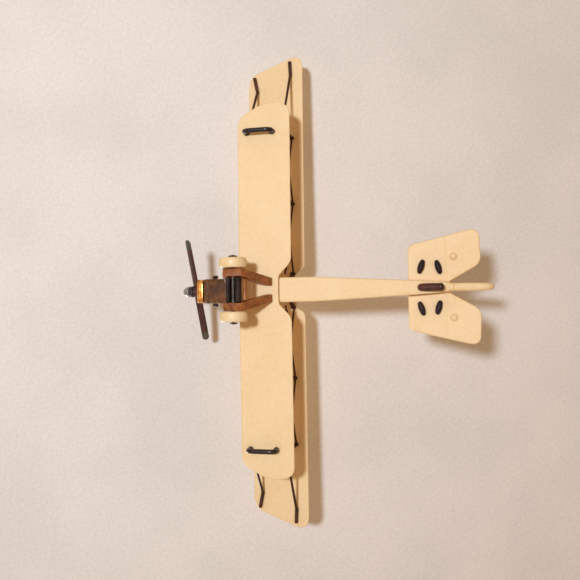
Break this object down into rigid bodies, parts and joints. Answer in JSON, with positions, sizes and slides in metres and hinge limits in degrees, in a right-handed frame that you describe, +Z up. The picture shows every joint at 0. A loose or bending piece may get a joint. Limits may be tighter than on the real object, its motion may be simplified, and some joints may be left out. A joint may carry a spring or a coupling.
{
  "type": "biplane scale model",
  "caption": "Palm-sized model of a strut-braced biplane trainer, with a propeller that spins on its pin and wheels that roll on their axle.",
  "frame": {"origin": "middle of the footprint, on the surface that the wheels and the tail skid stand on", "axes": "+X to the aircraft's port (left) wing tip, +Y towards the tail, +Z up; the aircraft stands tail down, pitched 15.9 degrees nose up"},
  "size_m": [0.13, 0.0794, 0.0325],
  "materials": {
    "cream_paint": "satin cream enamel over a smooth casting",
    "cream_plastic": "satin moulded",
    "frame_brown": "very dark brown, satin moulded",
    "coaming_brown": "brown painted roll",
    "clear_plastic": "clear moulded",
    "engine_brown": "brown satin paint, darker in the recesses",
    "radiator_brass": "dull brass",
    "radiator_core": "dark finned core",
    "propeller_brown": "dark red-brown lacquer with grey-green blade tips",
    "dark_metal": "darkened steel",
    "bright_steel": "bright turned steel",
    "gear_brown": "wood-brown paint, worn lighter on the edges",
    "black_enamel": "glossy black enamel"
  },
  "bodies": {
    "airframe": {"upper_wing": "cream_paint", "lower_wing": "cream_paint", "fuselage": "cream_paint", "belly_pan": "cream_paint", "stabilizer": "cream_paint", "vertical_tail": "cream_paint", "strut_inner_front_port": "frame_brown", "strut_outer_front_port": "frame_brown", "strut_inner_rear_port": "frame_brown", "strut_outer_rear_port": "frame_brown", "strut_inner_front_starboard": "frame_brown", "strut_outer_front_starboard": "frame_brown", "strut_inner_rear_starboard": "frame_brown", "strut_outer_rear_starboard": "frame_brown", "rigging_front_port": "frame_brown", "rigging_rear_port": "frame_brown", "rigging_front_starboard": "frame_brown", "rigging_rear_starboard": "frame_brown", "tip_brace_front_port": "frame_brown", "tip_brace_rear_port": "frame_brown", "tip_brace_front_starboard": "frame_brown", "tip_brace_rear_starboard": "frame_brown", "cabane_strut_front_port": "frame_brown", "cabane_strut_rear_port": "frame_brown", "cabane_strut_front_starboard": "frame_brown", "cabane_strut_rear_starboard": "frame_brown", "king_post_port": "frame_brown", "king_post_starboard": "frame_brown", "coaming_front": "coaming_brown", "coaming_rear": "coaming_brown", "windscreen_front": "clear_plastic", "windscreen_rear": "clear_plastic", "engine_block": "engine_brown", "cylinder_bank_port": "engine_brown", "cylinder_bank_starboard": "engine_brown", "exhaust_pipe_port": "black_enamel", "exhaust_pipe_starboard": "black_enamel", "radiator_shell": "radiator_brass", "radiator_core": "radiator_core", "propeller_pin": "bright_steel", "axle": "bright_steel", "hub_cap_port": "dark_metal", "hub_cap_starboard": "dark_metal", "landing_legs_port": "gear_brown", "landing_legs_starboard": "gear_brown", "gear_cross_brace": "gear_brown", "spreader_bar_front": "black_enamel", "spreader_bar_rear": "black_enamel", "axle_fairing": "black_enamel", "wing_hoop_port": "black_enamel", "wing_hoop_starboard": "black_enamel", "tail_strut_front_port": "black_enamel", "tail_strut_rear_port": "black_enamel", "tail_strut_front_starboard": "black_enamel", "tail_strut_rear_starboard": "black_enamel", "tail_skid": "propeller_brown"},
    "propeller": {"propeller": "propeller_brown", "propeller_hub": "dark_metal"},
    "wheel_port": {"wheel_port": "cream_plastic"},
    "wheel_starboard": {"wheel_starboard": "cream_plastic"}
  },
  "joints": [
    {"name": "propeller_spin", "type": "hinge", "parent": "airframe", "child": "propeller", "pos_m": [0, -0.036, 0.02135], "axis": [0, -0.9616, 0.2744], "continuous": true},
    {"name": "wheel_port_spin", "type": "hinge", "parent": "airframe", "child": "wheel_port", "pos_m": [0.0066, -0.02603, 0.00343], "axis": [1, 0, 0], "continuous": true},
    {"name": "wheel_starboard_spin", "type": "hinge", "parent": "airframe", "child": "wheel_starboard", "pos_m": [-0.0066, -0.02603, 0.00343], "axis": [1, 0, 0], "continuous": true}
  ]
}
